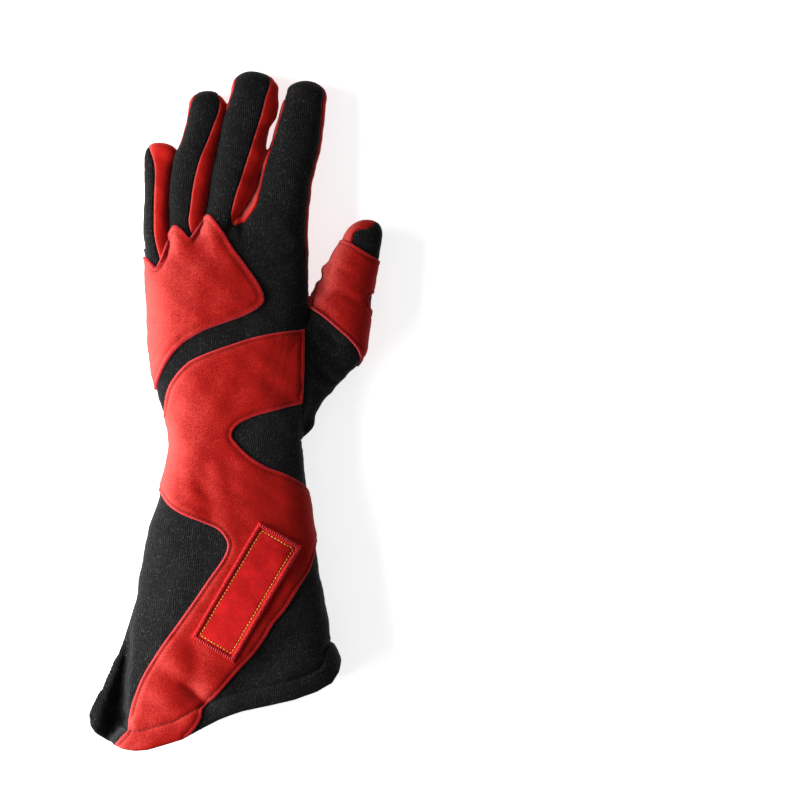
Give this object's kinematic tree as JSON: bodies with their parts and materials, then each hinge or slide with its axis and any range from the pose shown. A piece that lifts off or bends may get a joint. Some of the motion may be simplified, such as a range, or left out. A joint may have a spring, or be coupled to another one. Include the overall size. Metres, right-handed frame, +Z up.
{
  "type": "racing glove",
  "caption": "Long-cuffed racing glove for the left hand, lying palm down: knit back and flared cuff, suede palm and fingers, suede panels over knuckles, wrist and thumb",
  "frame": {"origin": "on the surface that the glove lies on, under the middle of its bounding box", "axes": "+Y from the cuff to the fingertips, +X towards the thumb side, +Z up out of the back of the hand"},
  "size_m": [0.1638, 0.3788, 0.0442],
  "materials": {
    "black_knit": "matt fine-ribbed knit with a grey fleck",
    "red_suede": "matt brushed suede, paler at the cut edges",
    "black_suede": "matt brushed suede",
    "red_twill": "tight twill inside a thick overstitched border"
  },
  "bodies": {
    "root": {"back": "black_knit", "cuff_back": "black_knit", "little_back": "black_knit", "ring_back": "black_knit", "middle_back": "black_knit", "palm": "red_suede", "little_front": "red_suede", "ring_front": "red_suede", "middle_front": "red_suede", "index_front": "red_suede", "cuff_front": "black_knit", "fourchette_little_ring": "red_suede", "fourchette_ring_middle": "red_suede", "fourchette_middle_index": "red_suede", "thumb_back": "black_knit", "thumb_front": "red_suede", "knuckle_panel": "red_suede", "wave_panel": "red_suede", "thumb_panel": "red_suede", "palm_patch": "black_suede", "badge": "red_twill"}
  },
  "joints": []
}
